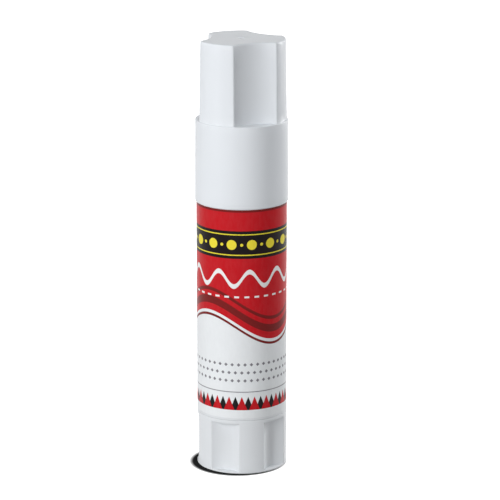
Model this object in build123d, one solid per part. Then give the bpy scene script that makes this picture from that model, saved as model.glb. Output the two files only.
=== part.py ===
from build123d import *

import math
import os

# A twist-up glue stick, standing upright on its turn knob.
# Millimetres. The origin is the centre of the base, and +Z runs up the stick's axis.

# Shared clearances
running_clearance = 0.15
close_clearance = 0.05
end_clearance = 0.3

# Barrel: a straight bore, a full-size body with a shallow label panel, and a neck that the cap covers
barrel_radius = 10.37
barrel_wall = 1.62
barrel_body_length = 49.75
neck_step = 0.82
mouth_chamfer = 0.25
lead_in = 0.4
neck_ring_height = 0.1
neck_ring_width = 0.9
neck_ring_crest = 0.3
lower_ring_rise = 3.0
upper_ring_drop = 2.6

# Guide ribs inside the barrel, which stop the carrier from turning
rib_count = 3
rib_angle = 0.0
rib_width = 1.0
rib_height = 0.55
rib_mouth_drop = 1.0
rib_root = 0.4

# Label wrapped round the barrel in its panel, flush with the rest, with a narrow seam at the back
label_thickness = 0.06
label_bond = 0.01
label_foot_rise = 0.55
label_top_drop = 0.4
seam_width = 0.4
seam_angle = 90.0

# Turn knob: a fluted cup, open below, with a deck, a drive boss and a snap collar
knob_height = 12.8
knob_ring_height = 0.9
flute_count = 5
flute_depth = 1.7
flute_radius = 6.0
flute_angle = 31.0
flute_foot_height = 0.4
hollow_round = 0.4
foot_chamfer = 0.2
knob_wall = 1.15
deck_thickness = 1.4
boss_wall = 1.5
boss_depth = 5.4
web_thickness = 0.9
web_depth = 4.0
collar_height = 4.2
collar_wall = 1.2
snap_height = 0.3
snap_width = 1.2
snap_crest = 0.4
snap_rise = 2.6
snap_end_play = 0.15

# Spindle: the lead screw at its major diameter, on a flange with a six-sided stub
screw_radius = 2.6
screw_tip_drop = 6.0
screw_tip_chamfer = 0.8
flange_clearance = 0.6
flange_thickness = 1.2
stub_radius = 2.4
stub_sides = 6
stub_length = 5.0
stub_chamfer = 0.4

# Carrier: the cup that holds the foot of the glue, with its nut
cup_height = 7.0
cup_wall = 1.1
cup_floor = 1.2
nut_wall = 1.5
nut_clearance = 0.1
nut_height_above_floor = 3.2

# Glue stick
glue_mouth_drop = 0.4
glue_edge_chamfer = 0.4
glue_gap = 0.04
glue_bore_clearance = 0.2

# Cap skirt
skirt_height = 18.96
skirt_wall = 0.96
skirt_draft = 0.36
cap_clearance = 0.07
roof_thickness = 1.06
rim_chamfer = 0.2
shoulder_chamfer = 0.2
skirt_lead_in = 0.3

# Cap head: three lobes between three scooped finger valleys, drawn in slightly to the top
head_height = 18.44
head_lobes = 3
lobe_inset = 0.24
valley_depth = 2.82
scoop_radius = 10.0
head_draft = 0.84
valley_angle = 50.5
ridge_round = 0.5
head_top_round = 0.45
top_round_steps = 3
cavity_round_steps = 1
head_wall = 1.0
cavity_ridge_round = 0.4
cavity_top_round = 0.3
gate_radius = 0.75
gate_depth = 0.35

# Heights and radii that follow from the sizes above
joint_gap = close_clearance
barrel_foot = knob_height + joint_gap
shoulder_height = barrel_foot + barrel_body_length
neck_length = skirt_height - roof_thickness - end_clearance
mouth_height = shoulder_height + neck_length
bore_radius = barrel_radius - barrel_wall
neck_radius = barrel_radius - neck_step
label_inner_radius = barrel_radius - label_thickness
panel_radius = label_inner_radius - label_bond
label_foot = barrel_foot + label_foot_rise
label_top = shoulder_height - label_top_drop
knob_radius = barrel_radius
collar_radius = bore_radius - running_clearance
collar_top = knob_height + collar_height
snap_level = knob_height + snap_rise
flange_radius = collar_radius - collar_wall - flange_clearance
flange_top = knob_height + flange_thickness
cup_foot = collar_top + end_clearance
cup_rim = cup_foot + cup_height
cup_radius = bore_radius - running_clearance
nut_foot = flange_top + end_clearance
nut_top = cup_foot + cup_floor + nut_height_above_floor
nut_bore_radius = screw_radius + nut_clearance
nut_radius = nut_bore_radius + nut_wall
rib_inner_radius = bore_radius - rib_height
glue_top = mouth_height - glue_mouth_drop
screw_tip = mouth_height - screw_tip_drop
skirt_bore_radius = neck_radius + neck_ring_height + cap_clearance
skirt_radius = skirt_bore_radius + skirt_wall
skirt_top = shoulder_height + skirt_height
skirt_top_radius = skirt_radius - skirt_height * math.tan(math.radians(skirt_draft))
head_radius = skirt_top_radius - lobe_inset
head_shrink = head_height * math.tan(math.radians(head_draft))
scoop_distance = head_radius - valley_depth + scoop_radius
stick_height = skirt_top + head_height


def turned(*points):
    """The solid of revolution about Z of an outline given as (radius, height) points."""
    return revolve(Plane.XZ * make_face(Polyline(*points, close=True)), Axis.Z)


def disc(radius, bottom, top):
    """An upright cylinder between two heights."""
    return Pos(0, 0, bottom) * extrude(Circle(radius), top - bottom)


def ring(surface_radius, height, width, crest, level):
    """The outline points, from the bottom up, of a ring with sloped flanks round a cylinder."""
    return [
        (surface_radius, level - width / 2),
        (surface_radius + height, level - crest / 2),
        (surface_radius + height, level + crest / 2),
        (surface_radius, level + width / 2),
    ]


def neck_ring(level):
    """One of the two low rings on the barrel's neck that the cap grips."""
    return ring(neck_radius, neck_ring_height, neck_ring_width, neck_ring_crest, level)


def spokes(count, start_angle, width, inner_radius, outer_radius, bottom, top):
    """Upright bars, spread evenly round the axis, between two radii."""
    bar = Rectangle(outer_radius - inner_radius, width, align=(Align.MIN, Align.CENTER))
    bars = Sketch() + PolarLocations(inner_radius, count, start_angle=start_angle) * bar
    return Pos(0, 0, bottom) * extrude(bars, top - bottom)


def make_barrel():
    groove_width = snap_width + 2 * snap_end_play
    groove_crest = snap_crest + 2 * snap_end_play
    groove = ring(bore_radius, snap_height, groove_width, groove_crest, snap_level)
    tube = turned(
        (bore_radius + lead_in, barrel_foot),
        (barrel_radius, barrel_foot),
        (barrel_radius, label_foot - close_clearance),
        (panel_radius, label_foot - close_clearance),
        (panel_radius, label_top + close_clearance),
        (barrel_radius, label_top + close_clearance),
        (barrel_radius, shoulder_height),
        (neck_radius, shoulder_height),
        *neck_ring(shoulder_height + lower_ring_rise),
        *neck_ring(mouth_height - upper_ring_drop),
        (neck_radius, mouth_height - mouth_chamfer),
        (neck_radius - mouth_chamfer, mouth_height),
        (bore_radius + mouth_chamfer, mouth_height),
        (bore_radius, mouth_height - mouth_chamfer),
        *reversed(groove),
        (bore_radius, barrel_foot + lead_in),
    )
    rib_top = mouth_height - rib_mouth_drop
    rib_back = bore_radius + rib_root
    ribs = spokes(rib_count, rib_angle, rib_width, rib_inner_radius, rib_back, cup_foot, rib_top)
    return tube + ribs


def make_label():
    sleeve = disc(barrel_radius, label_foot, label_top) - disc(label_inner_radius, label_foot, label_top)
    slot_end = barrel_radius + label_bond
    return sleeve - spokes(1, seam_angle, seam_width, panel_radius, slot_end, label_foot, label_top)


def flutes(inset):
    """The scoops round the grip in cross-section, made wider by an inset."""
    distance = knob_radius - flute_depth + flute_radius
    scoop = Circle(flute_radius + inset)
    return Sketch() + PolarLocations(distance, flute_count, start_angle=flute_angle) * scoop


def make_turn_knob():
    """The grip's scoops stop at a ring above and a foot rim below, and its hollow follows them."""
    ledge = knob_height - knob_ring_height
    deck_foot = knob_height - deck_thickness
    grip = disc(knob_radius, 0, knob_height)
    grip = chamfer(grip.edges().group_by(Axis.Z)[0], foot_chamfer)
    grip -= Pos(0, 0, flute_foot_height) * extrude(flutes(0), ledge - flute_foot_height)
    hollow = Circle(knob_radius - knob_wall) - flutes(knob_wall)
    grip -= extrude(fillet(hollow.vertices(), hollow_round), deck_foot)
    boss_radius = stub_radius + close_clearance + boss_wall
    boss_foot = deck_foot - boss_depth
    grip += disc(boss_radius, boss_foot, deck_foot)
    land_angle = flute_angle + 180 / flute_count
    web_start = boss_radius - boss_wall / 2
    web_end = knob_radius - knob_wall / 2
    web_foot = deck_foot - web_depth
    grip += spokes(flute_count, land_angle, web_thickness, web_start, web_end, web_foot, deck_foot)
    grip += turned(
        (collar_radius - collar_wall, knob_height),
        (collar_radius, knob_height),
        *ring(collar_radius, snap_height, snap_width, snap_crest, snap_level),
        (collar_radius, collar_top),
        (collar_radius - collar_wall, collar_top),
    )
    socket = RegularPolygon(stub_radius + close_clearance, stub_sides)
    return grip - Pos(0, 0, boss_foot) * extrude(socket, boss_depth + deck_thickness)


def make_spindle():
    screw = disc(screw_radius, knob_height, screw_tip)
    screw = chamfer(screw.edges().group_by(Axis.Z)[-1], screw_tip_chamfer)
    stub = extrude(RegularPolygon(stub_radius, stub_sides), stub_length)
    stub = chamfer(stub.edges().group_by(Axis.Z)[0], stub_chamfer)
    flange = disc(flange_radius, knob_height, flange_top)
    return screw + flange + Pos(0, 0, knob_height - stub_length) * stub


def rib_notches(bottom, top):
    """What the barrel's ribs clear on a piece that slides along them."""
    width = rib_width + 2 * running_clearance
    depth_radius = rib_inner_radius - running_clearance
    return spokes(rib_count, rib_angle, width, depth_radius, bore_radius, bottom, top)


def make_carrier():
    cup = turned(
        (nut_bore_radius, nut_foot),
        (nut_radius, nut_foot),
        (nut_radius, cup_foot),
        (cup_radius, cup_foot),
        (cup_radius, cup_rim),
        (cup_radius - cup_wall, cup_rim),
        (cup_radius - cup_wall, cup_foot + cup_floor),
        (nut_radius, cup_foot + cup_floor),
        (nut_radius, nut_top),
        (nut_bore_radius, nut_top),
    )
    return cup - rib_notches(cup_foot, cup_rim)


def make_glue():
    floor = cup_foot + cup_floor
    stick = disc(cup_radius, cup_rim, glue_top)
    stick = chamfer(stick.edges().group_by(Axis.Z)[-1], glue_edge_chamfer)
    stick -= rib_notches(cup_rim, glue_top)
    stick += disc(cup_radius - cup_wall - glue_gap, floor, cup_rim)
    stick -= disc(nut_radius + glue_gap, floor, nut_top)
    return stick - disc(screw_radius + glue_bore_clearance, floor, screw_tip + end_clearance)


def head_outline(inset, shrink, corner_round):
    """The head's cross-section: a circle with scoops taken out, drawn in by an inset and a shrink."""
    draw_in = inset + shrink
    scoop = Circle(scoop_radius + draw_in)
    scoops = PolarLocations(scoop_distance, head_lobes, start_angle=valley_angle) * scoop
    outline = Circle(head_radius - draw_in) - scoops
    return fillet(outline.vertices(), corner_round)


def head_section(inset, level, corner_round):
    """The drafted outline at a height above the skirt."""
    shrink = head_shrink * (level - skirt_top) / head_height
    return Pos(0, 0, level) * head_outline(inset, shrink, corner_round)


def head_form(inset, top, corner_round, top_round, steps):
    """The drafted three-lobed form from the skirt's roof up, with its top edge rounded in steps."""
    sections = [head_section(inset, skirt_top, corner_round)]
    for step in range(steps + 1):
        angle = math.pi / 2 * step / steps
        level = top - top_round * (1 - math.sin(angle))
        sections.append(head_section(inset + top_round * (1 - math.cos(angle)), level, corner_round))
    return loft(sections, ruled=True)


def make_cap():
    shell = turned(
        (0, shoulder_height),
        (skirt_radius - rim_chamfer, shoulder_height),
        (skirt_radius, shoulder_height + rim_chamfer),
        (skirt_top_radius, skirt_top - shoulder_chamfer),
        (skirt_top_radius - shoulder_chamfer, skirt_top),
        (0, skirt_top),
    )
    shell += head_form(0, stick_height, ridge_round, head_top_round, top_round_steps)
    roof_foot = skirt_top - roof_thickness
    well = turned(
        (0, shoulder_height),
        (skirt_bore_radius + skirt_lead_in, shoulder_height),
        (skirt_bore_radius, shoulder_height + skirt_lead_in),
        (skirt_bore_radius, roof_foot),
        (0, roof_foot),
    )
    cavity_top = stick_height - head_wall
    cavity = head_form(head_wall, cavity_top, cavity_ridge_round, cavity_top_round, cavity_round_steps)
    hole = head_outline(head_wall, 0, cavity_ridge_round)
    cavity += Pos(0, 0, roof_foot) * extrude(hole, roof_thickness)
    gate = Pos(0, 0, stick_height - gate_depth / 2) * Cone(0, gate_radius, gate_depth)
    return shell - well - cavity - gate


pieces = {
    "cap": make_cap,
    "barrel": make_barrel,
    "label": make_label,
    "turn_knob": make_turn_knob,
    "spindle": make_spindle,
    "carrier": make_carrier,
    "glue": make_glue,
}

os.makedirs("parts", exist_ok=True)
for name, make in pieces.items():
    export_step(make(), f"parts/{name}.step")
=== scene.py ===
import math

import bmesh
import bpy
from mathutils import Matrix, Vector


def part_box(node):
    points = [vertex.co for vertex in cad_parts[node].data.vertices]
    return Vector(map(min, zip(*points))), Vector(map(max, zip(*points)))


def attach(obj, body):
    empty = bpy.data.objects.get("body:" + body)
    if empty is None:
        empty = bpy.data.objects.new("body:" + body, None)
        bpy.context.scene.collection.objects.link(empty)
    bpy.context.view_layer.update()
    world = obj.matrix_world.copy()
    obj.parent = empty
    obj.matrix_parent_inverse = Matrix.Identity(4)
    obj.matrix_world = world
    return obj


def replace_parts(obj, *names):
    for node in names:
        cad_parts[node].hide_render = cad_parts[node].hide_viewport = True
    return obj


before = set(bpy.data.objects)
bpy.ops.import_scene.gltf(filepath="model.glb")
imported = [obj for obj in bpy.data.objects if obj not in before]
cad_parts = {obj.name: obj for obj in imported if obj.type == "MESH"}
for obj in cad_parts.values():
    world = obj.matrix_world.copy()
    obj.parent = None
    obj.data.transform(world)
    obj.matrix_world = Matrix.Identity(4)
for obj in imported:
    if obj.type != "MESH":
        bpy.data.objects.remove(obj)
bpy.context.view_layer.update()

# Looks of a twist-up glue stick. Shapes are worked out in millimetres and stored in metres,
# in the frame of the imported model: the origin is the centre of the base, and +Z runs up the stick.
MM = 0.001


def heights(node):
    """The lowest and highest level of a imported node, in millimetres."""
    low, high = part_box(node)
    return low.z / MM, high.z / MM


def width(node):
    """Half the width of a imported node, in millimetres."""
    low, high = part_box(node)
    return (high.x - low.x) / 2 / MM


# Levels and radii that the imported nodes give
cap_foot, cap_top = heights("cap")
barrel_foot, barrel_mouth = heights("barrel")
label_foot = heights("label")[0]
collar_top = heights("turn_knob")[1]
stub_foot, screw_tip = heights("spindle")
nut_foot, cup_rim = heights("carrier")
glue_foot, glue_top = heights("glue")
skirt_radius = width("cap")
barrel_radius = width("barrel")
label_radius = width("label")
flange_radius = width("spindle")

# Cap: a drafted skirt under a three-lobed head, hollow inside
skirt_height = 18.96
skirt_draft = 0.36
skirt_bore_radius = 9.72
skirt_lead_in = 0.3
skirt_roof = 1.06
skirt_wall_share = 0.97
rim_round = 0.22
shoulder_round = 0.2
head_lobes = 3
head_valley_angle = 50.5
head_lobe_inset = 0.24
head_valley_depth = 2.82
head_scoop_radius = 10.0
head_draft = 0.84
head_ridge_round = 0.5
head_top_round = 0.45
head_wall = 1.0
head_foot_round = 0.12
cavity_top_round = 0.3
crown_shares = (0.3, 0.6, 0.85)

# The dimple that the moulding gate leaves in the cap's top. Its form runs from a nub on the axis out
# to the flat, in shares of its radius and of its depth.
gate_radius = 0.75
gate_depth = 0.33
gate_shares = ((0.0, 0.1), (0.28, 0.2), (0.4, 0.75), (0.7, 1.0), (1.0, 0.12), (1.2, 0.0))

# Barrel: a straight bore with ribs, a panel for the label, and a neck with two rings under the cap
bore_radius = 8.75
bore_lead_in = 0.4
neck_radius = 9.55
neck_rings = (3.0, 14.9)
ring_height = 0.1
ring_reach = 0.42
mouth_round = 0.22
shoulder_edge_round = 0.12
barrel_edge_round = 0.03
panel_radius = 10.3
panel_end_gap = 0.01
groove_radius = 9.05
groove_reach = 0.75
rib_count = 3
rib_width = 1.0
rib_inner_radius = 8.2
rib_foot = 17.3
rib_mouth_drop = 1.0
rib_end_slope = 0.01

# Label: a thin wrap in the barrel's panel, with its seam at the back
label_inner_radius = 10.31
seam_width = 0.4
seam_angle = 90.0

# Turn knob: flutes, a ring above them, a deck, a drive boss and the snap collar
knob_height = 12.8
knob_ring_height = 0.9
flute_count = 5
flute_angle = 31.0
flute_depth = 1.7
flute_radius = 6.0
flute_foot_height = 0.4
flute_edge_round = 0.1
flute_end_shares = ((0, 1), (0.3, 0.3), (1, 0))
flute_start_share = 0.1
land_round = 0.22
hollow_round = 0.4
foot_round = 0.22
ring_edge_round = 0.04
knob_wall = 1.15
deck_foot = 11.4
boss_radius = 3.95
boss_foot = 6.0
socket_radius = 2.45
web_thickness = 0.9
web_foot = 7.4
web_let_in = 0.3
web_top_let_in = 0.2
collar_radius = 8.6
collar_inside_radius = 7.4
snap_level = 15.4
snap_height = 0.3
snap_reach = 0.6

# Spindle: a left-hand screw of one start, on a flange with a six-sided stub
screw_lead = 4.0
screw_radius = 2.6
screw_root_radius = 2.05
screw_tip_inset = 0.4
screw_foot_fade = 1.0
screw_tip_fade = 0.8
thread_crest_share = 0.3
thread_flank_share = 0.14
flange_height = 1.2
stub_radius = 2.4
stub_sides = 6
stub_chamfer = 0.4

# Carrier: a notched cup with a nut, whose thread lies half a lead away from the screw's
nut_root_radius = 2.7
nut_crest_radius = 2.2
nut_crest_share = 0.18
nut_shift = 0.5
nut_radius = 4.2
nut_top = 21.7
cup_radius = 8.6
cup_inside_radius = 7.5
cup_foot = 17.3
cup_floor = 18.5
notch_width = 1.3
notch_radius = 8.05

# Glue
glue_gap = 0.04
glue_bore_radius = 2.8
glue_bore_top = 74.5
glue_edge_round = 0.4
glue_dome = 0.12
glue_dome_shares = (0.8, 0.6, 0.4, 0.2)

# How finely the meshes are divided: steps along them, and columns round the axis.
# A set of three counts is for a scoop, its ridge and the land beside it.
round_steps = 5
small_round_steps = 3
head_top_steps = 7
head_wall_steps = 9
skirt_wall_steps = 9
skirt_bore_steps = 4
ring_steps = 8
panel_steps = 6
screw_steps = 240
nut_steps = 30
nut_fade_steps = 3
glue_steps = 8
head_columns = (14, 9, 12)
flute_columns = (14, 6, 10)
barrel_columns = 40
label_columns = 240
screw_columns = 42
carrier_columns = 20
glue_columns = 30

# Edges with a sharper turn than this, in degrees, aren't smoothed over
sharp_angle = 35.0
thread_sharp_angle = 50.0


def even_steps(start, end, count):
    """Evenly spaced values from the start to the end, both included."""
    return [start + (end - start) * i / count for i in range(count + 1)]


# Outlines: each is a function from an angle in radians to a radius in millimetres


def circle(radius):
    return lambda angle: radius


def scooped(radius, scoop, distance, count, first_angle, rounding):
    """A circle with concave scoops cut into it, and the ridges between them rounded."""
    pitch = 2 * math.pi / count
    ridge = radius - rounding
    ridge_at = math.acos((ridge**2 + distance**2 - (scoop + rounding) ** 2) / (2 * ridge * distance))
    share = scoop / (scoop + rounding)
    touch_x = distance + share * (ridge * math.cos(ridge_at) - distance)
    touch_y = share * ridge * math.sin(ridge_at)
    touch_at = math.atan2(touch_y, touch_x)

    def outline(angle):
        off = abs((angle - math.radians(first_angle) + pitch / 2) % pitch - pitch / 2)
        if off >= ridge_at:
            return radius
        if off <= touch_at:
            return distance * math.cos(off) - math.sqrt(scoop**2 - (distance * math.sin(off)) ** 2)
        turn = ridge_at - off
        return ridge * math.cos(turn) + math.sqrt(rounding**2 - (ridge * math.sin(turn)) ** 2)

    outline.breaks = (touch_at, ridge_at)
    return outline


def polygon(radius, sides):
    """A regular polygon that has a corner at angle 0."""
    pitch = 2 * math.pi / sides
    flat = radius * math.cos(pitch / 2)
    return lambda angle: flat / math.cos(angle % pitch - pitch / 2)


def with_slots(outline, slot_radius, slot_width, count):
    """An outline that drops or rises to another radius over a few evenly spread slots."""
    pitch = 2 * math.pi / count

    def slotted(angle):
        off = abs((angle + pitch / 2) % pitch - pitch / 2)
        return slot_radius if off * slot_radius < slot_width / 2 else outline(angle)

    return slotted


def drawn_in(outline, inset):
    """An outline made smaller all round."""
    return lambda angle: outline(angle) - inset


def no_less(outline, least):
    """An outline that nowhere goes further in than a least radius."""
    return lambda angle: max(outline(angle), least)


def between(inner, outer, share):
    """The outline part of the way from one outline to another."""
    return lambda angle: inner(angle) + (outer(angle) - inner(angle)) * share


# Columns: the angles that an outline's corners need, in order round the axis


def even_columns(count):
    return even_steps(0, 2 * math.pi, count)[:-1]


def scoop_columns(outline, count, first_angle, steps):
    """Angles that are close together at the ridges: steps is the number over scoop, ridge and land."""
    pitch = 2 * math.pi / count
    stops = (0, *outline.breaks, pitch / 2)
    half = []
    for start, end, number in zip(stops, stops[1:], steps):
        half += even_steps(start, end, number)[:-1]
    around = [-angle for angle in reversed(half[1:])] + half + [pitch / 2]
    middles = [math.radians(first_angle) + pitch * i for i in range(count)]
    return [middle + angle for middle in middles for angle in around]


def slot_columns(slot_radius, slot_width, count, steps):
    """Angles with a pair at each wall of the slots, a hair apart, and even steps between them."""
    pitch = 2 * math.pi / count
    edge = slot_width / 2 / slot_radius
    hair = 0.004
    around = [-edge - hair, -edge + hair, 0, edge - hair]
    around += even_steps(edge + hair, pitch - edge - hair, steps)[:-1]
    return [pitch * i + angle for i in range(count) for angle in around]


# Profiles: rows of (outline, height) from one end of a skin to the other


def arc_steps(start, end, count):
    return [math.radians(angle) for angle in even_steps(start, end, count)]


def corner(radius, level, rounding, start, end, count=round_steps):
    """Rows round the edge where a wall of this radius meets a flat at this level."""
    middle = math.radians((start + end) / 2)
    centre = radius - math.copysign(rounding, math.cos(middle))
    middle_level = level - math.copysign(rounding, math.sin(middle))
    return [
        (circle(centre + rounding * math.cos(a)), middle_level + rounding * math.sin(a))
        for a in arc_steps(start, end, count)
    ]


def tube(radius, bottom, top, count):
    """Evenly spaced rows up or down a straight wall, without its two ends."""
    return [(circle(radius), level) for level in even_steps(bottom, top, count)[1:-1]]


def ring_rows(radius, level, reach, height):
    """A low rounded ring round a wall; a negative height is a groove."""
    return [
        (circle(radius + height * (1 + math.cos(math.pi * t)) / 2), level + reach * t)
        for t in even_steps(-1, 1, ring_steps)
    ]


# Meshes


def skin(name, columns, rows, closed=False, sharp_from=sharp_angle):
    """A mesh that runs through the rows. A row without an outline is one point, and a closed skin is a ring."""
    form = bmesh.new()
    loops = []
    for outline, level in rows:
        if outline is None:
            loops.append([form.verts.new((0, 0, level * MM))])
            continue
        loop = []
        for angle in columns:
            radius = outline(angle) * MM
            loop.append(form.verts.new((radius * math.cos(angle), radius * math.sin(angle), level * MM)))
        loops.append(loop)
    pairs = list(zip(loops, loops[1:]))
    if closed:
        pairs.append((loops[-1], loops[0]))
    for low, high in pairs:
        for i in range(len(columns)):
            j = (i + 1) % len(columns)
            ring = [low[i % len(low)], low[j % len(low)], high[j % len(high)], high[i % len(high)]]
            form.faces.new(list(dict.fromkeys(ring)))
    return finished(name, form, sharp_from)


def finished(name, form, sharp_from=sharp_angle):
    """Turns a bmesh into an object with its normals out, smooth but for its sharp edges."""
    bmesh.ops.recalc_face_normals(form, faces=form.faces)
    for face in form.faces:
        face.smooth = True
    for edge in form.edges:
        edge.smooth = edge.calc_face_angle(0.0) < math.radians(sharp_from)
    mesh = bpy.data.meshes.new(name)
    form.to_mesh(mesh)
    form.free()
    piece = bpy.data.objects.new(name, mesh)
    bpy.context.scene.collection.objects.link(piece)
    return piece


# The cap

skirt_top = cap_foot + skirt_height
skirt_top_radius = skirt_radius - skirt_height * math.tan(math.radians(skirt_draft))
head_radius = skirt_top_radius - head_lobe_inset
head_distance = head_radius - head_valley_depth + head_scoop_radius


def head_outline(inset, level):
    """The three-lobed outline at a level, drawn in by the draft and by an inset."""
    draw_in = inset + (level - skirt_top) * math.tan(math.radians(head_draft))
    radius, scoop = head_radius - draw_in, head_scoop_radius + draw_in
    return scooped(radius, scoop, head_distance, head_lobes, head_valley_angle, head_ridge_round)


def top_rows():
    """The gate's dimple and the flat round it, from the axis out. The first row is the point on the axis."""
    rows = [(circle(gate_radius * reach), cap_top - gate_depth * drop) for reach, drop in gate_shares]
    rows[0] = (None, rows[0][1])
    gate_edge, crown = rows[-1][0], head_outline(head_top_round, cap_top)
    return rows + [(between(gate_edge, crown, share), cap_top) for share in crown_shares]


def head_rows():
    """The head's rounded top edge, its drafted wall and the fillet at its foot."""
    rows = []
    for a in arc_steps(90, 0, head_top_steps):
        level = cap_top - head_top_round * (1 - math.sin(a))
        rows.append((head_outline(head_top_round * (1 - math.cos(a)), level), level))
    wall_top, wall_foot = cap_top - head_top_round, skirt_top + head_foot_round
    for level in even_steps(wall_top, wall_foot, head_wall_steps)[1:]:
        rows.append((head_outline(0, level), level))
    for a in arc_steps(0, 90, small_round_steps)[1:]:
        flare = head_foot_round * (1 - math.cos(a))
        level = skirt_top + head_foot_round * (1 - math.sin(a))
        rows.append((head_outline(-flare, skirt_top), level))
    return rows


def skirt_rows():
    """The skirt's shoulder, its drafted wall, its rim and its bore up to the roof."""
    rows = corner(skirt_top_radius, skirt_top, shoulder_round, 90, 0)
    wall_top = skirt_top - shoulder_round
    radii = even_steps(skirt_top_radius, skirt_radius, skirt_wall_steps)
    levels = even_steps(wall_top, wall_top - skirt_height * skirt_wall_share, skirt_wall_steps)
    rows += [(circle(radius), level) for radius, level in zip(radii[1:-1], levels[1:-1])]
    rows += corner(skirt_radius, cap_foot, rim_round, 0, -90)
    rows.append((circle(skirt_bore_radius + skirt_lead_in), cap_foot))
    roof = skirt_top - skirt_roof
    levels = even_steps(cap_foot + skirt_lead_in, roof, skirt_bore_steps)
    return rows + [(circle(skirt_bore_radius), level) for level in levels]


def cavity_rows():
    """The head's hollow, from the roof of the skirt to the axis."""
    cavity_top = cap_top - head_wall
    levels = (skirt_top - skirt_roof, skirt_top, (skirt_top + cavity_top) / 2, cavity_top - cavity_top_round)
    rows = [(head_outline(head_wall, max(level, skirt_top)), level) for level in levels]
    return rows + [(head_outline(head_wall + cavity_top_round, cavity_top), cavity_top), (None, cavity_top)]


columns = scoop_columns(head_outline(0, skirt_top), head_lobes, head_valley_angle, head_columns)
cap = skin("cap_moulding", columns, top_rows() + head_rows() + skirt_rows() + cavity_rows())
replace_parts(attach(cap, "cap"), "cap")


# The barrel and its label. The panel and the label run up to the shoulder's rounded edge, at the cap's rim.

label_end = cap_foot - shoulder_edge_round


def barrel_rows():
    rows = corner(barrel_radius, barrel_foot, barrel_edge_round, -90, 0, small_round_steps)
    panel_foot = label_foot - panel_end_gap
    rows += [(circle(barrel_radius), panel_foot), (circle(panel_radius), panel_foot)]
    rows += tube(panel_radius, panel_foot, label_end, panel_steps)
    rows += corner(panel_radius, cap_foot, shoulder_edge_round, 0, 90)
    rows.append((circle(neck_radius), cap_foot))
    for rise in neck_rings:
        rows += ring_rows(neck_radius, cap_foot + rise, ring_reach, ring_height)
    rows += corner(neck_radius, barrel_mouth, mouth_round, 0, 90)
    rows += corner(bore_radius, barrel_mouth, mouth_round, 90, 180)
    plain = circle(bore_radius)
    ribbed = with_slots(plain, rib_inner_radius, rib_width, rib_count)
    rib_top = barrel_mouth - rib_mouth_drop
    rows += [(plain, rib_top + rib_end_slope), (ribbed, rib_top)]
    rows += [(ribbed, rib_foot), (plain, rib_foot - rib_end_slope)]
    rows += reversed(ring_rows(bore_radius, snap_level, groove_reach, groove_radius - bore_radius))
    rows.append((plain, barrel_foot + bore_lead_in))
    rows.append((circle(bore_radius + bore_lead_in), barrel_foot))
    return rows


columns = slot_columns(rib_inner_radius, rib_width, rib_count, barrel_columns)
barrel = skin("barrel_tube", columns, barrel_rows(), closed=True)
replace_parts(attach(barrel, "barrel"), "barrel")


def label_sleeve():
    """A thin open sleeve: a flat section swept round from one side of the seam to the other."""
    form = bmesh.new()
    inner, outer = label_inner_radius, label_radius
    section = [(inner, label_foot), (outer, label_foot), (outer, label_end), (inner, label_end)]
    half_gap = seam_width / 2 / label_radius
    start = math.radians(seam_angle) + half_gap
    loops = []
    for angle in even_steps(start, start + 2 * math.pi - 2 * half_gap, label_columns):
        turn = Vector((math.cos(angle) * MM, math.sin(angle) * MM, 0))
        loops.append([form.verts.new(turn * radius + Vector((0, 0, level * MM))) for radius, level in section])
    for low, high in zip(loops, loops[1:]):
        for i in range(len(section)):
            j = (i + 1) % len(section)
            form.faces.new((low[i], low[j], high[j], high[i]))
    form.faces.new(loops[0])
    form.faces.new(loops[-1])
    return finished("label_wrap", form)


label = label_sleeve()
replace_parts(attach(label, "barrel"), "label")


# The turn knob

knob_radius = label_radius


def flute_outline(inset, rounding=land_round):
    """The grip's outline between its foot rim and its ring, drawn in by an inset."""
    distance = knob_radius - flute_depth + flute_radius
    return scooped(knob_radius - inset, flute_radius + inset, distance, flute_count, flute_angle, rounding)


def flute_end_rows(level, side):
    """Rows at an end of the flutes, from the full circle to the scoops. The side is -1 going down and 1 up."""
    scoops = flute_outline(0)
    rows = [
        (no_less(scoops, knob_radius - flute_edge_round * inset), level - side * flute_edge_round * rise)
        for inset, rise in flute_end_shares
    ]
    return rows + [(scoops, level + side * flute_edge_round * flute_start_share)]


def knob_rows():
    socket = polygon(socket_radius, stub_sides)
    rows = [(socket, boss_foot), (socket, knob_height), (circle(collar_inside_radius), knob_height)]
    rows.append((circle(collar_inside_radius), collar_top - ring_edge_round))
    rows += corner(collar_inside_radius, collar_top, ring_edge_round, 180, 90, small_round_steps)
    rows += corner(collar_radius, collar_top, ring_edge_round, 90, 0, small_round_steps)
    rows += reversed(ring_rows(collar_radius, snap_level, snap_reach, snap_height))
    rows.append((circle(collar_radius), knob_height))
    rows += corner(knob_radius, knob_height, ring_edge_round, 90, 0, small_round_steps)
    rows += flute_end_rows(knob_height - knob_ring_height, -1)
    rows += reversed(flute_end_rows(flute_foot_height, 1))
    rows += corner(knob_radius, 0, foot_round, 0, -90)
    hollow = flute_outline(knob_wall, hollow_round)
    rows += [(hollow, 0), (hollow, deck_foot)]
    return rows + [(circle(boss_radius), deck_foot), (circle(boss_radius), boss_foot)]


columns = scoop_columns(flute_outline(0), flute_count, flute_angle, flute_columns)
knob = skin("knob_moulding", columns, knob_rows(), closed=True)
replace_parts(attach(knob, "knob"), "turn_knob")


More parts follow.
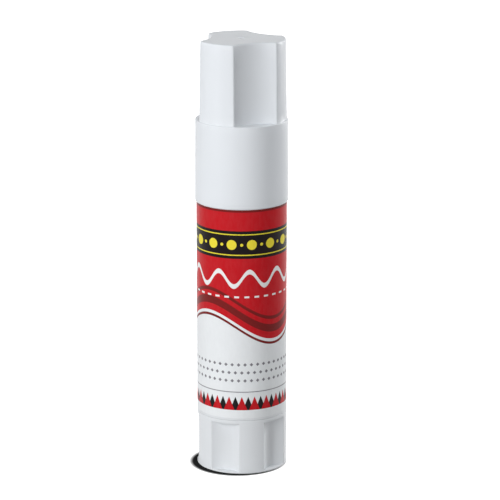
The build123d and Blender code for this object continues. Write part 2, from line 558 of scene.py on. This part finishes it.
def web_bars():
    """The plates under the deck that stiffen the boss, let into it, the wall and the deck a little."""
    form = bmesh.new()
    inner, outer, side = boss_radius - web_let_in, knob_radius - knob_wall / 2, web_thickness / 2
    faces = ((0, 1, 2, 3), (4, 5, 6, 7), (0, 1, 5, 4), (1, 2, 6, 5), (2, 3, 7, 6), (3, 0, 4, 7))
    for i in range(flute_count):
        angle = math.radians(flute_angle) + math.pi * (2 * i + 1) / flute_count
        outward = Vector((math.cos(angle), math.sin(angle), 0)) * MM
        sideward = Vector((-outward.y, outward.x, 0))
        corners = [
            outward * reach + sideward * shift + Vector((0, 0, level * MM))
            for level in (web_foot, deck_foot + web_top_let_in)
            for reach, shift in ((inner, -side), (outer, -side), (outer, side), (inner, side))
        ]
        points = [form.verts.new(point) for point in corners]
        for face in faces:
            form.faces.new([points[k] for k in face])
    return finished("knob_webs", form)


webs = web_bars()
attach(webs, "knob")


# The spindle, the carrier and the glue


def thread(level, crest_radius, root_radius, crest_share, shift=0.0):
    """The screw's outline at a level: left-hand, so its ridge falls as the angle grows."""

    def outline(angle):
        place = level / screw_lead + angle / (2 * math.pi) + shift
        off = abs((place + 0.5) % 1 - 0.5)
        drop = min(max((off - crest_share / 2) / thread_flank_share, 0), 1)
        return crest_radius + (root_radius - crest_radius) * drop

    return outline


def spindle_rows():
    stub = polygon(stub_radius, stub_sides)
    stub_end = polygon(stub_radius - stub_chamfer, stub_sides)
    flange_top = knob_height + flange_height
    rows = [(None, stub_foot), (stub_end, stub_foot), (stub, stub_foot + stub_chamfer), (stub, knob_height)]
    rows += corner(flange_radius, knob_height, ring_edge_round, -90, 0, small_round_steps)
    rows += corner(flange_radius, flange_top, ring_edge_round, 0, 90, small_round_steps)
    rows.append((circle(screw_root_radius), flange_top))
    for level in even_steps(flange_top, screw_tip, screw_steps)[1:]:
        fade = min((level - flange_top) / screw_foot_fade, (screw_tip - level) / screw_tip_fade, 1)
        crest = screw_root_radius + (screw_radius - screw_root_radius) * max(fade, 0)
        rows.append((thread(level, crest, screw_root_radius, thread_crest_share), level))
    return rows + [(circle(screw_root_radius - screw_tip_inset), screw_tip), (None, screw_tip)]


spindle = skin("lead_screw", even_columns(screw_columns), spindle_rows(), sharp_from=thread_sharp_angle)
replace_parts(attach(spindle, "knob"), "spindle")


def carrier_rows():
    notched = with_slots(circle(cup_radius), notch_radius, notch_width, rib_count)
    rows = []
    for i, level in enumerate(even_steps(nut_foot, nut_top, nut_steps)):
        fade = min(i, nut_steps - i, nut_fade_steps) / nut_fade_steps
        crest = nut_root_radius + (nut_crest_radius - nut_root_radius) * fade
        rows.append((thread(level, crest, nut_root_radius, nut_crest_share, nut_shift), level))
    rows += [(circle(nut_radius), nut_top), (circle(nut_radius), cup_floor)]
    rows += [(circle(cup_inside_radius), cup_floor), (circle(cup_inside_radius), cup_rim)]
    rows += [(notched, cup_rim), (notched, cup_foot)]
    return rows + [(circle(nut_radius), cup_foot), (circle(nut_radius), nut_foot)]


columns = slot_columns(notch_radius, notch_width, rib_count, carrier_columns)
carrier = skin("carrier_cup", columns, carrier_rows(), closed=True)
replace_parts(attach(carrier, "carrier"), "carrier")


def glue_rows():
    notched = with_slots(circle(cup_radius), notch_radius, notch_width, rib_count)
    bore = circle(glue_bore_radius)
    pocket = circle(nut_radius + glue_gap)
    cup_part = circle(cup_inside_radius - glue_gap)
    rows = [(None, glue_bore_top), (bore, glue_bore_top), (bore, nut_top), (pocket, nut_top)]
    rows += [(pocket, glue_foot), (cup_part, glue_foot), (cup_part, cup_rim)]
    edge_level = glue_top - glue_dome - glue_edge_round
    rows += [(notched, level) for level in even_steps(cup_rim, edge_level, glue_steps)]
    for a in arc_steps(0, 90, round_steps)[1:]:
        rounded = drawn_in(notched, glue_edge_round * (1 - math.cos(a)))
        rows.append((rounded, edge_level + glue_edge_round * math.sin(a)))
    for share in glue_dome_shares:
        rows.append((circle(notch_radius * share), glue_top - glue_dome * share**2))
    return rows + [(None, glue_top)]


columns = slot_columns(notch_radius, notch_width, rib_count, glue_columns)
glue = skin("glue_stick", columns, glue_rows())
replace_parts(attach(glue, "carrier"), "glue")


# Materials. Their patterns come from the place on the piece, so each stays with its piece.


class Look:
    """One material's nodes. A value is a number, a colour or another node's output."""

    def __init__(self, name):
        self.material = bpy.data.materials.new(name)
        self.material.use_nodes = True
        self.nodes = self.material.node_tree.nodes
        self.links = self.material.node_tree.links
        self.shader = self.nodes["Principled BSDF"]
        self.place = self.nodes.new("ShaderNodeTexCoord").outputs["Object"]

    def put(self, socket, value):
        if isinstance(value, bpy.types.NodeSocket):
            self.links.new(value, socket)
        else:
            socket.default_value = value

    def set(self, **values):
        """Sets the shader's inputs: Base_Color stands for Base Color."""
        for name, value in values.items():
            self.put(self.shader.inputs[name.replace("_", " ")], value)

    def axes(self):
        """The place on the piece as X, Y and Z."""
        node = self.nodes.new("ShaderNodeSeparateXYZ")
        self.links.new(self.place, node.inputs[0])
        return node.outputs

    def math(self, operation, *values):
        node = self.nodes.new("ShaderNodeMath")
        node.operation = operation
        for socket, value in zip(node.inputs, values):
            self.put(socket, value)
        return node.outputs[0]

    def distance(self, across, along):
        squares = self.math("ADD", self.math("MULTIPLY", across, across), self.math("MULTIPLY", along, along))
        return self.math("SQRT", squares)

    def remap(self, value, low, high, new_low=0.0, new_high=1.0):
        """A smooth step between two values."""
        node = self.nodes.new("ShaderNodeMapRange")
        node.interpolation_type = "SMOOTHSTEP"
        for socket, entry in zip(node.inputs, (value, low, high, new_low, new_high)):
            self.put(socket, entry)
        return node.outputs[0]

    def noise(self, scale, detail=2.0, stretch=(1, 1, 1)):
        """Noise of so many cycles a metre, drawn out along the axes with a small stretch."""
        mapping = self.nodes.new("ShaderNodeMapping")
        self.links.new(self.place, mapping.inputs["Vector"])
        mapping.inputs["Scale"].default_value = stretch
        node = self.nodes.new("ShaderNodeTexNoise")
        self.links.new(mapping.outputs[0], node.inputs["Vector"])
        node.inputs["Scale"].default_value = scale
        node.inputs["Detail"].default_value = detail
        return node.outputs["Fac"]

    def spread(self, noise, new_low=0.0, new_high=1.0):
        """Noise stretched to run between two values, since most of it keeps near its middle."""
        return self.remap(noise, 0.3, 0.7, new_low, new_high)

    def mix(self, share, low, high):
        node = self.nodes.new("ShaderNodeMix")
        node.data_type = "RGBA"
        self.put(node.inputs["Factor"], share)
        self.put(node.inputs[6], low)
        self.put(node.inputs[7], high)
        return node.outputs[2]

    def bump(self, height, depth):
        """Relief of so many millimetres in the surface."""
        node = self.nodes.new("ShaderNodeBump")
        self.put(node.inputs["Height"], height)
        node.inputs["Distance"].default_value = depth * MM
        node.inputs["Strength"].default_value = 1.0
        self.links.new(node.outputs[0], self.shader.inputs["Normal"])


def grey(level):
    return (level, level, level, 1)


def shade(colour, factor):
    return (*(channel * factor for channel in colour[:3]), 1)


def moulded(name, colour, roughness, unevenness, grain_depth):
    """Moulded plastic: cloudy colour, faint flow lines up the part, and a fine grain in the gloss."""
    look = Look(name)
    clouds = look.math("MULTIPLY", look.noise(scale=90, detail=3), 0.6)
    flow = look.math("MULTIPLY", look.noise(scale=260, detail=2, stretch=(1, 1, 0.12)), 0.4)
    tint = look.spread(look.math("ADD", clouds, flow))
    look.set(Base_Color=look.mix(tint, shade(colour, 1 - unevenness), shade(colour, 1)))
    grain = look.noise(scale=2600, detail=2)
    scuffs = look.noise(scale=420, detail=4, stretch=(1, 1, 3))
    gloss = look.math("ADD", look.spread(grain, -0.02, 0.02), look.remap(scuffs, 0.55, 0.75, 0, 0.06))
    look.set(Roughness=look.math("ADD", gloss, roughness), IOR=1.49, Specular_IOR_Level=0.25)
    ripple = look.noise(scale=340, detail=1)
    look.bump(look.math("ADD", look.math("MULTIPLY", grain, 0.25), ripple), grain_depth)
    return look


# The plastics, the first two with little relief, so that their gloss stays even
cap_look = moulded("cap_plastic", (0.71, 0.74, 0.775), 0.32, 0.02, 0.003)
barrel_look = moulded("barrel_plastic", (0.695, 0.72, 0.745), 0.32, 0.02, 0.003)
inner_look = moulded("inner_plastic", (0.74, 0.74, 0.72), 0.42, 0.03, 0.02)

# Glue: a waxy solid that light enters a little, with the faint swirl of its pour
glue_look = Look("glue_wax")
swirl = glue_look.noise(scale=220, detail=4, stretch=(1, 1, 0.5))
glue_look.set(Base_Color=glue_look.mix(swirl, (0.66, 0.64, 0.55, 1), (0.78, 0.77, 0.7, 1)))
glue_look.set(Roughness=glue_look.spread(glue_look.noise(scale=900, detail=3), 0.38, 0.55), IOR=1.45)
glue_look.set(Subsurface_Weight=0.35, Subsurface_Radius=(1.0, 0.8, 0.55), Subsurface_Scale=1.5 * MM)
glue_look.bump(glue_look.noise(scale=1500, detail=3), 0.04)

# Label: a plain generic print, in inks on pale paper
ink_red = (0.5, 0.008, 0.014, 1)
ink_wine = (0.17, 0.012, 0.012, 1)
ink_black = (0.004, 0.0035, 0.004, 1)
ink_yellow = (0.8, 0.68, 0.05, 1)
ink_white = grey(0.8)
ink_grey = (0.2, 0.2, 0.22, 1)
paper = (0.77, 0.795, 0.815, 1)
print_softness = 0.05

# Layout of the print, in millimetres, and in counts round the barrel.
# The red part ends below in a slow wave, with stripes that follow it. A wine line closes it above: painted
# shade under the cap's rim.
border_level = 35.2
border_swing = -3.4
border_waves = 2
border_stripes = ((1.6, 3.4), (4.6, 5.4), (-1.3, -0.7))
rim_shade_line_foot = 61.95

# On the red: a white ripple over a dashed rule
ripple_level = 46.4
ripple_swing = 1.7
ripple_waves = 9
ripple_half_width = 0.55
dash_level = 42.2
dash_count = 28
dash_length = 1.1
dash_thickness = 0.42

# Across the red: a black belt with two rules, and large and small beads in turn
belt = (51.2, 57.6)
belt_rules = ((51.9, 52.15), (56.65, 56.9))
bead_level = 54.4
bead_count = 14
bead_radius = 1.15
small_bead_radius = 0.35

# On the pale part: points in two colours, a rule, and rows of small diamonds
point_levels = (15.4, 18.6)
point_count = 22
point_width_share = 0.86
pale_rule = (19.6, 19.8)
diamond_levels = (22.4, 24.3, 26.2)
diamond_count = 44
diamond_radius = 0.42

label_look = Look("label_print")
label_axes = label_look.axes()
front = label_look.math("MULTIPLY", label_axes["Y"], -1.0)
around = label_look.math("DIVIDE", label_look.math("ARCTAN2", label_axes["X"], front), 2 * math.pi)
height = label_look.math("DIVIDE", label_axes["Z"], MM)
label_round = 2 * math.pi * label_radius


def above(value, edge):
    return label_look.remap(value, edge - print_softness, edge + print_softness)


def below(value, edge):
    return label_look.remap(value, edge - print_softness, edge + print_softness, 1.0, 0.0)


def both(first, second):
    """Where two masks overlap."""
    return label_look.math("MULTIPLY", first, second)


def band(value, low, high):
    return both(above(value, low), below(value, high))


def over(level):
    """The height over a level, with its sign: less than 0 is below it."""
    return label_look.math("SUBTRACT", height, level)


def off(value):
    """The distance on either side of a line, from a value with a sign."""
    return label_look.math("ABSOLUTE", value)


def wave(count, swing, level):
    """The level of a wave round the barrel, in millimetres."""
    angle = label_look.math("MULTIPLY", around, 2 * math.pi * count)
    rise = label_look.math("MULTIPLY", label_look.math("SINE", angle), swing)
    return label_look.math("ADD", rise, level)


def beside(count, shift=0.0):
    """The way from the middle of the nearest of so many evenly spread motifs, with its sign."""
    periods = label_look.math("MULTIPLY_ADD", around, count, shift + count)
    share = label_look.math("SUBTRACT", label_look.math("FRACT", periods), 0.5)
    return label_look.math("MULTIPLY", share, label_round / count)


def dots(count, level, radius, shift=0.0):
    return below(label_look.distance(beside(count, shift), over(level)), radius)


def diamonds(count, level, radius, shift=0.0):
    return below(label_look.math("ADD", off(beside(count, shift)), off(over(level))), radius)


def dashes(count, level, length, thickness):
    return both(below(off(beside(count)), length / 2), below(off(over(level)), thickness / 2))


def triangles(count, low, high, shift=0.0):
    """Triangles that stand on their base."""
    slope = label_round / count / 2 / (high - low) * point_width_share
    half_width = label_look.math("MULTIPLY_ADD", over(low), -slope, slope * (high - low))
    inside = above(label_look.math("SUBTRACT", half_width, off(beside(count, shift))), 0)
    return both(inside, band(height, low, high))


# The layers lie one over the other in this order. A shift of 0.5 sets motifs between the others.
over_border = over(wave(border_waves, border_swing, border_level))
off_ripple = off(over(wave(ripple_waves, ripple_swing, ripple_level)))
layers = [(above(over_border, 0), ink_red)]
layers += [(band(over_border, *stripe), ink_wine) for stripe in border_stripes]
layers += [
    # A wine line just under the cap's rim: painted shade where the rim's shadow falls on the label
    (above(height, rim_shade_line_foot), ink_wine),
    (below(off_ripple, ripple_half_width), ink_white),
    (dashes(dash_count, dash_level, dash_length, dash_thickness), ink_white),
    (band(height, *belt), ink_black),
]
layers += [(band(height, *rule), ink_yellow) for rule in belt_rules]
layers += [
    (dots(bead_count, bead_level, bead_radius), ink_yellow),
    (dots(bead_count, bead_level, small_bead_radius, 0.5), ink_yellow),
    (triangles(point_count, *point_levels), ink_black),
    (triangles(point_count, *point_levels, 0.5), ink_red),
    (band(height, *pale_rule), ink_grey),
]
for row, level in enumerate(diamond_levels):
    layers.append((diamonds(diamond_count, level, diamond_radius, 0.5 * (row % 2)), ink_grey))

fibre = label_look.noise(scale=1400, detail=3, stretch=(1, 1, 0.4))
speckle = label_look.remap(fibre, 0.25, 0.75, 0.99, 1.0)
sheet = label_look.mix(label_look.spread(fibre), shade(paper, 0.975), paper)
for mask, ink in layers:
    sheet = label_look.mix(both(mask, speckle), sheet, ink)
label_look.set(Base_Color=sheet, Roughness=label_look.spread(fibre, 0.3, 0.36), IOR=1.5)
label_look.set(Specular_IOR_Level=0.08)
label_look.bump(fibre, 0.006)

for piece, look in (
    (cap, cap_look),
    (barrel, barrel_look),
    (knob, barrel_look),
    (webs, barrel_look),
    (spindle, inner_look),
    (carrier, inner_look),
    (label, label_look),
    (glue, glue_look),
):
    piece.data.materials.append(look.material)


# Camera, fitted to the photo's outline

camera_place = (0, -0.63376, 0.21347)
camera_tilt = math.radians(75.59)
camera_pan = -0.003
camera_lens = 205.3
camera = bpy.data.objects.new("camera", bpy.data.cameras.new("camera"))
camera.data.sensor_width = 36
camera.data.lens = camera_lens
camera.data.clip_start = 0.01
camera.location = camera_place
camera.rotation_euler = (camera_tilt, 0, camera_pan)
bpy.context.scene.collection.objects.link(camera)
bpy.context.scene.camera = camera

# Lamps, soft and large, aimed at the stick's middle. Angles are in degrees, and 270 is the camera's side.
lamps = [
    # name, angle, elevation, distance, width, height, watts
    ("side_left", 170, 16, 0.9, 0.2, 0.6, 0.95),
    ("key_left", 206, 16, 0.9, 0.35, 0.6, 3.0),
    ("front_left", 245, 16, 0.9, 0.2, 0.6, 3.4),
    ("front", 275, 16, 0.9, 0.2, 0.6, 1.75),
    ("rim_right", 35, 16, 0.9, 0.2, 0.6, 6.2),
    ("top", 265, 78, 0.9, 0.3, 0.2, 1.6),
]
aim = Vector((0, 0, 0.05))
for name, angle, elevation, distance, wide, tall, watts in lamps:
    lamp = bpy.data.lights.new(name, "AREA")
    lamp.shape = "RECTANGLE"
    lamp.size = wide
    lamp.size_y = tall
    lamp.energy = watts
    turn, lift = math.radians(angle), math.radians(elevation)
    out = Vector((math.cos(turn) * math.cos(lift), math.sin(turn) * math.cos(lift), math.sin(lift)))
    lamp_object = bpy.data.objects.new(name, lamp)
    lamp_object.location = aim + out * distance
    lamp_object.rotation_euler = out.to_track_quat("Z", "Y").to_euler()
    bpy.context.scene.collection.objects.link(lamp_object)


# Floor and world: drawn white for the eye and for reflections, and dimmer for the light that they give off


def seen(tree, names=("Is Camera Ray", "Is Glossy Ray", "Is Transmission Ray")):
    """1 where the eye, a reflection or a view through clear stuff meets the surface."""
    path = tree.nodes.new("ShaderNodeLightPath")
    total = path.outputs[names[0]]
    for name in names[1:]:
        either = tree.nodes.new("ShaderNodeMath")
        either.operation = "MAXIMUM"
        tree.links.new(total, either.inputs[0])
        tree.links.new(path.outputs[name], either.inputs[1])
        total = either.outputs[0]
    return total


# The floor shows a painted contact shadow only: a dark patch painted into its colour under the foot, that
# reaches out to the left and to the front, and fades between two radii, in millimetres. Past it the floor glows
# plain white.
floor_reach = 4.0
shadow_left = 0.9
shadow_forward = 0.6
shadow_radius = 10.4
shadow_end = 12.0
painted_shadow_tone = grey(0.02)
white = grey(1)

floor_form = bmesh.new()
spots = ((-1, -1), (1, -1), (1, 1), (-1, 1))
floor_form.faces.new([floor_form.verts.new((x * floor_reach, y * floor_reach, 0)) for x, y in spots])
floor = finished("floor", floor_form)
floor_look = Look("floor_paper")
floor_tree = floor_look.material.node_tree
floor_axes = floor_look.axes()
away = floor_look.distance(
    floor_look.math("ADD", floor_axes["X"], shadow_left * MM),
    floor_look.math("ADD", floor_axes["Y"], shadow_forward * MM),
)
clear = floor_look.remap(away, shadow_radius * MM, shadow_end * MM)
pale = floor_look.mix(floor_look.noise(scale=500, detail=3), grey(0.48), grey(0.5))
# Painted shadow: the floor's colour for the eye goes near black under the foot, and plain white past it
shown = floor_look.mix(clear, painted_shadow_tone, white)
floor_look.set(Base_Color=floor_look.mix(seen(floor_tree, ["Is Camera Ray"]), pale, shown))
floor_look.set(Roughness=0.9, Specular_IOR_Level=0.0, Emission_Color=white)
floor_look.set(Emission_Strength=floor_look.math("MULTIPLY", seen(floor_tree), clear))
floor.data.materials.append(floor_look.material)

ambient = 0.01
world = bpy.data.worlds.new("world")
world.use_nodes = True
bpy.context.scene.world = world
sky = world.node_tree.nodes["Background"]
sky_level = world.node_tree.nodes.new("ShaderNodeMapRange")
sky_level.inputs["To Min"].default_value = ambient
world.node_tree.links.new(seen(world.node_tree), sky_level.inputs[0])
world.node_tree.links.new(sky_level.outputs[0], sky.inputs["Strength"])
sky.inputs["Color"].default_value = white

bpy.context.scene.view_settings.view_transform = "Standard"
